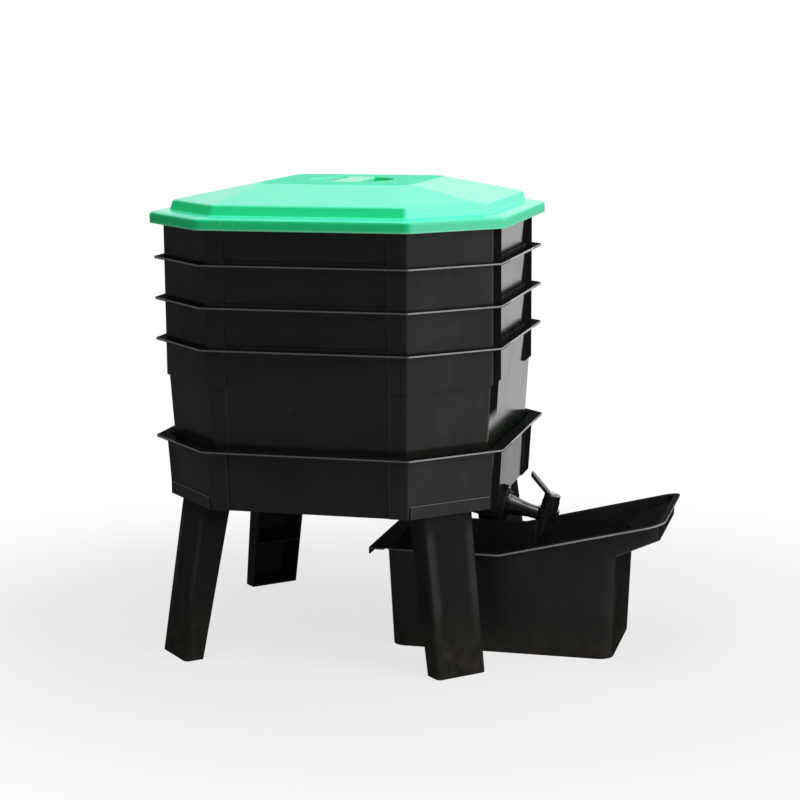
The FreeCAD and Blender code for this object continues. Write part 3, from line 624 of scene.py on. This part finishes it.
def rounded_section(corners):
    """Section line with rounded corners. Each corner is a Vector of any length and a radius.

    The first two numbers of a Vector are its place in the section."""
    line = [corners[0][0]]
    for (before, _), (corner, radius), (after, _) in zip(corners, corners[1:], corners[2:]):
        if radius == 0:
            line.append(corner)
            continue
        back = (before - corner).resized(2)
        ahead = (after - corner).resized(2)
        run = radius / math.tan(back.angle(ahead) / 2)
        start = corner + (before - corner) * (run / back.length)
        end = corner + (after - corner) * (run / ahead.length)
        for step in range(ROUND_FACETS + 1):
            share = step / ROUND_FACETS
            line.append((start * (1 - share) + corner * share) * (1 - share)
                        + (corner * (1 - share) + end * share) * share)
    line.append(corners[-1][0])
    return line


def lid_section():
    """Outside of the lid from the crown down, then its inside up to the crown again.

    Each point is half width, height, corner radius in plan and the distance to the cut corners."""
    def point(half, level, radius):
        return Vector((half, level, radius, half + CORNER_INSET))

    def crown(share, level):
        return Vector((CROWN_HALF * share, level, CROWN_CORNER * share, CROWN_DIAGONAL * share))

    inner_half = SKIRT_HALF - LID_WALL
    inner_edge = SHELF_EDGE - LID_SHELL
    inner_foot = PLINTH_FOOT - LID_SHELL
    inner_crown = LID_HIGH.z - LID_SHELL
    return rounded_section([
        (crown(CROWN_FLAT, LID_HIGH.z), 0),
        (crown(1, LID_HIGH.z), CROWN_ROUND),
        (point(PLINTH_TOP_HALF, PLINTH_TOP, PLINTH_TOP_CORNER), PLINTH_ROUND),
        (point(PLINTH_FOOT_HALF, PLINTH_FOOT, PLINTH_FOOT_CORNER), PLINTH_HOLLOW),
        (point(SHELF_INNER_HALF, PLINTH_FOOT, SHELF_CORNER), SHELF_HOLLOW),
        (point(SKIRT_HALF, SHELF_EDGE, SKIRT_CORNER), SHELF_ROUND),
        (point(SKIRT_HALF, LID_LOW.z, SKIRT_CORNER), LOWER_ROUND),
        (point(inner_half, LID_LOW.z, SKIRT_INNER_CORNER), LOWER_ROUND),
        (point(inner_half, inner_edge, SKIRT_INNER_CORNER), 0),
        (point(SHELF_INNER_HALF - LID_SHELL, inner_foot, SHELF_CORNER), 0),
        (point(PLINTH_INNER_HALF, inner_foot, PLINTH_FOOT_CORNER), 0),
        (point(PLINTH_INNER_HALF, PLINTH_TOP - LID_SHELL, PLINTH_FOOT_CORNER), 0),
        (crown(CROWN_INSIDE, inner_crown), 0),
        (crown(CROWN_FLAT, inner_crown), 0)])


def dish_section(radius, rim, lip_round):
    """Section of the hand recess from the middle of its floor to the flat ring around it."""
    floor = rim - DISH_DEPTH
    return rounded_section([(Vector((DISH_CENTRE, floor)), 0),
                            (Vector((radius, floor)), DISH_FLOOR_ROUND),
                            (Vector((radius, rim)), lip_round),
                            (Vector((radius + DISH_MARGIN, rim)), 0)])


def rounded_box(mesh, low, high, radius):
    """Adds a box with rounded edges to a mesh under construction."""
    box = bmesh.ops.create_cube(mesh, size=1.0)
    for vertex in box["verts"]:
        vertex.co = [low[i] if vertex.co[i] < 0 else high[i] for i in range(3)]
    edges = list({edge for vertex in box["verts"] for edge in vertex.link_edges})
    bmesh.ops.bevel(mesh, geom=edges, offset=radius, segments=3, profile=0.5, affect="EDGES")


def join_rings(mesh, rings):
    """Closed skin over rings that have the same number of points."""
    rows = [[mesh.verts.new(point) for point in ring] for ring in rings]
    count = len(rows[0])
    for upper, lower in zip(rows, rows[1:]):
        for i in range(count):
            after = (i + 1) % count
            mesh.faces.new((upper[i], lower[i], lower[after], upper[after]))
    mesh.faces.new(rows[0])
    mesh.faces.new(list(reversed(rows[-1])))
    bmesh.ops.remove_doubles(mesh, verts=mesh.verts, dist=0.01 * MM)


def moulded_lid(material):
    """Thin moulded shell with soft corners, a round hand recess and a bar across the recess."""
    dish = dish_section(DISH_RADIUS, LID_HIGH.z, DISH_LIP_ROUND)
    cup = dish_section(DISH_RADIUS + LID_SHELL, LID_HIGH.z - LID_SHELL, 0)
    shell = [rounded_octagon(*point) for point in lid_section()]
    mesh = bmesh.new()
    join_rings(mesh, [circle(*p) for p in dish] + shell + [circle(*p) for p in reversed(cup)])
    grip_end = DISH_RADIUS + GRIP_INTO_WALL
    rounded_box(mesh, (STACK.x - GRIP_HALF, -grip_end, LID_HIGH.z - GRIP_THICK),
                (STACK.x + GRIP_HALF, grip_end, LID_HIGH.z - GRIP_BELOW_CROWN), GRIP_ROUND)
    bmesh.ops.recalc_face_normals(mesh, faces=mesh.faces)
    data = bpy.data.meshes.new("lid_moulding")
    mesh.to_mesh(data)
    mesh.free()
    data.shade_smooth()
    data.set_sharp_from_angle(angle=SMOOTH_BELOW)
    data.materials.append(material)
    piece = bpy.data.objects.new("lid_moulding", data)
    bpy.context.scene.collection.objects.link(piece)
    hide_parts("lid")
    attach(piece, "lid")
    keep_faces_flat(piece)


# Rounded edges

SMOOTH_BELOW = math.radians(30)         # smaller turns between faces are shaded smooth
ROUND_ABOVE = math.radians(32)          # larger turns get a radius
FLAT_BELOW = math.radians(0.4)          # smaller turns are merged into one face

# Radius of each piece's edges, in millimetres
EDGE_RADIUS = {"base_tray": 0.6, "worm_ladder": 0.5, "catch_tub": 0.7, "tap_body": 0.5,
               "tap_bonnet": 0.3, "tap_lever": 0.6, "tap_lever_screw": 0.2, "tap_lock_nut": 0.4,
               "tap_plug": 0.2, "tap_washer_outer": 0.3, "tap_washer_inner": 0.2,
               **dict.fromkeys(TRAYS, 0.7), **dict.fromkeys(LEGS, 1.0)}


def smooth_shading_tree():
    """Shade smooth across every edge that turns by less than a given angle."""
    tree = bpy.data.node_groups.new("smooth_below_angle", "GeometryNodeTree")
    tree.interface.new_socket("Geometry", in_out="INPUT", socket_type="NodeSocketGeometry")
    angle = tree.interface.new_socket("Angle", in_out="INPUT", socket_type="NodeSocketFloat")
    angle.default_value = SMOOTH_BELOW
    tree.interface.new_socket("Geometry", in_out="OUTPUT", socket_type="NodeSocketGeometry")
    start = tree.nodes.new("NodeGroupInput")
    end = tree.nodes.new("NodeGroupOutput")
    turn = tree.nodes.new("GeometryNodeInputMeshEdgeAngle")
    below = tree.nodes.new("FunctionNodeCompare")
    below.data_type = "FLOAT"
    below.operation = "LESS_THAN"
    faces = tree.nodes.new("GeometryNodeSetShadeSmooth")
    faces.domain = "FACE"
    edges = tree.nodes.new("GeometryNodeSetShadeSmooth")
    edges.domain = "EDGE"
    tree.links.new(start.outputs["Geometry"], faces.inputs["Geometry"])
    tree.links.new(faces.outputs["Geometry"], edges.inputs["Geometry"])
    tree.links.new(turn.outputs["Unsigned Angle"], below.inputs[0])
    tree.links.new(start.outputs["Angle"], below.inputs[1])
    tree.links.new(below.outputs["Result"], edges.inputs["Shade Smooth"])
    tree.links.new(edges.outputs["Geometry"], end.inputs["Geometry"])
    return tree


def keep_faces_flat(piece):
    """Bend the shading over the rounded edges alone, not over the large faces beside them."""
    flat = piece.modifiers.new("flat_normals", "WEIGHTED_NORMAL")
    flat.keep_sharp = True


def round_edges(name, width, tree):
    """Merge a CAD piece's loose triangles and give its sharp edges a small radius."""
    piece = nodes[name]
    weld = piece.modifiers.new("weld", "WELD")
    weld.merge_threshold = 0.001 * MM
    flat = piece.modifiers.new("flat_faces", "DECIMATE")
    flat.decimate_type = "DISSOLVE"
    flat.angle_limit = FLAT_BELOW
    bevel = piece.modifiers.new("radius", "BEVEL")
    bevel.width = width
    bevel.segments = 2
    bevel.limit_method = "ANGLE"
    bevel.angle_limit = ROUND_ABOVE
    bevel.use_clamp_overlap = True
    bevel.miter_outer = "MITER_ARC"
    smooth = piece.modifiers.new("smooth", "NODES")
    smooth.node_group = tree
    keep_faces_flat(piece)


def round_all_edges():
    tree = smooth_shading_tree()
    for name, radius in EDGE_RADIUS.items():
        round_edges(name, radius * MM, tree)


# Studio

FLOOR_HALF = 30.0
FLOOR_GREY = (0.62, 0.62, 0.62, 1)
FLOOR_GLOW_NEAR = 0.74          # share of plain white in the floor beside the object
WHITE_START = 0.40              # distances between which it rises to 1
WHITE_END = 1.00
WHITE_ALONG_X = 0.75            # weight of X in them; below 1, the white starts further off along X
WORLD_LIGHT = 0.18              # level of the world for rays that only carry light
WHITE = (1, 1, 1, 1)

LIGHTS_AIM = (STACK.x, 0, 0.45)
SOFT_BOXES = {"overhead": {"place": (STACK.x + 0.3, -0.3, 2.6), "side": 2.2, "power": 35.0},
              "right_side": {"place": (2.5, -0.9, 1.6), "side": 1.5, "power": 38.0}}


def studio_floor():
    """Pale floor that keeps the shadow near the object and turns white further off."""
    mesh = bpy.data.meshes.new("floor")
    side = FLOOR_HALF
    corners = [(-side, -side, 0), (side, -side, 0), (side, side, 0), (-side, side, 0)]
    mesh.from_pydata(corners, [], [(0, 1, 2, 3)])
    floor = bpy.data.objects.new("floor", mesh)
    bpy.context.scene.collection.objects.link(floor)
    paint = Paint("floor_pale", Base_Color=FLOOR_GREY, Roughness=0.9, Specular_IOR_Level=0.0)
    distance = (paint.x * paint.x * WHITE_ALONG_X + paint.y * paint.y) ** 0.5
    far = distance.between(WHITE_START, WHITE_END) * (1 - FLOOR_GLOW_NEAR) + FLOOR_GLOW_NEAR
    white = far * paint.seen_rays()
    glow = paint.add("ShaderNodeEmission", None, {"Color": WHITE, "Strength": 1.0})
    grey = Value(paint, paint.shader.outputs[0])
    blend = paint.add("ShaderNodeMixShader", None, {0: white, 1: grey, 2: glow})
    paint.tree.links.new(blend.socket, paint.tree.nodes["Material Output"].inputs[0])
    mesh.materials.append(paint.material)


def studio_world():
    """White to the camera and in reflections, a plain soft level for everything else."""
    world = bpy.data.worlds.new("studio")
    bpy.context.scene.world = world
    world.use_nodes = True
    shading = Shading(world.node_tree)
    strength = shading.seen_rays() * (1 - WORLD_LIGHT) + WORLD_LIGHT
    background = shading.tree.nodes["Background"]
    background.inputs["Color"].default_value = WHITE
    shading.tree.links.new(strength.socket, background.inputs["Strength"])


def soft_box(name, place, side, power):
    lamp = bpy.data.lights.new(name, "AREA")
    lamp.shape = "SQUARE"
    lamp.size = side
    lamp.energy = power
    holder = bpy.data.objects.new(name, lamp)
    holder.location = place
    aim = Vector(LIGHTS_AIM) - Vector(place)
    holder.rotation_euler = aim.to_track_quat("-Z", "Y").to_euler()
    bpy.context.scene.collection.objects.link(holder)


def studio_lights():
    studio_world()
    for name, box in SOFT_BOXES.items():
        soft_box(name, **box)


# Camera, fitted to the rims, the lid and the tub in the photograph

PHOTO_SIDE = 800
FOCAL_PIXELS = 1984.0
SENSOR = 36.0
DISTANCE = 2.908
AZIMUTH = 14.55
ELEVATION = 9.92
ROLL = -0.33
AIM_HEIGHT = 0.340
AIM_RIGHT = 0.0671


def photo_camera():
    azimuth, elevation, roll = (math.radians(a) for a in (AZIMUTH, ELEVATION, ROLL))
    forward = Vector((-math.sin(azimuth) * math.cos(elevation),
                      math.cos(azimuth) * math.cos(elevation), -math.sin(elevation)))
    level = forward.cross(Vector((0, 0, 1))).normalized()
    above = level.cross(forward)
    right = level * math.cos(roll) + above * math.sin(roll)
    up = above * math.cos(roll) - level * math.sin(roll)
    aim = Vector((STACK.x, 0, AIM_HEIGHT)) + level * AIM_RIGHT
    lens = bpy.data.cameras.new("photo_camera")
    lens.sensor_width = SENSOR
    lens.lens = FOCAL_PIXELS * SENSOR / PHOTO_SIDE
    camera = bpy.data.objects.new("photo_camera", lens)
    turn = Matrix((right, up, -forward)).transposed().to_4x4()
    camera.matrix_world = Matrix.Translation(aim - forward * DISTANCE) @ turn
    bpy.context.scene.collection.objects.link(camera)
    bpy.context.scene.camera = camera


dress_nodes()
moulded_lid(nodes["lid"].data.materials[0])
round_all_edges()
studio_floor()
studio_lights()
photo_camera()
bpy.context.scene.view_settings.view_transform = "Standard"
